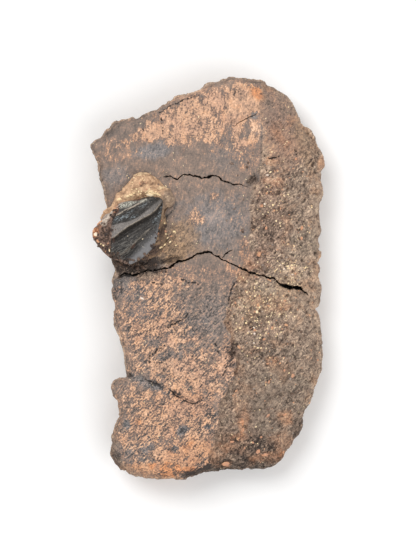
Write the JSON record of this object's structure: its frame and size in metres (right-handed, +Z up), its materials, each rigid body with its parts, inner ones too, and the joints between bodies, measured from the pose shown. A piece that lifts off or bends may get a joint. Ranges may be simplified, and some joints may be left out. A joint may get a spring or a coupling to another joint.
{
  "type": "fossil frill bone fragment",
  "caption": "Flat slab of fossil frill bone with cracks and a rough broken side, a sandy matrix lump stuck near one edge and a ridged tooth set in it; lies on its flat face.",
  "frame": {"origin": "middle of the slab's bounding box, on the surface that it rests on", "axes": "+Z up out of the slab's upper face, +Y along its length towards the wide rounded end, +X across it towards the rough side"},
  "size_m": [0.113, 0.194, 0.0405],
  "materials": {
    "frill_bone": "dry mineralised bone, orange and grey-brown, smooth on the left and crumbly on the right",
    "sandy_matrix": "matte sandy tan stone with pale yellow grains",
    "tooth_enamel": "charcoal enamel with a satin gloss, and a crumbly brown root"
  },
  "bodies": {
    "root": {"frill_bone": "frill_bone", "matrix_lump": "sandy_matrix", "tooth": "tooth_enamel"}
  },
  "joints": []
}
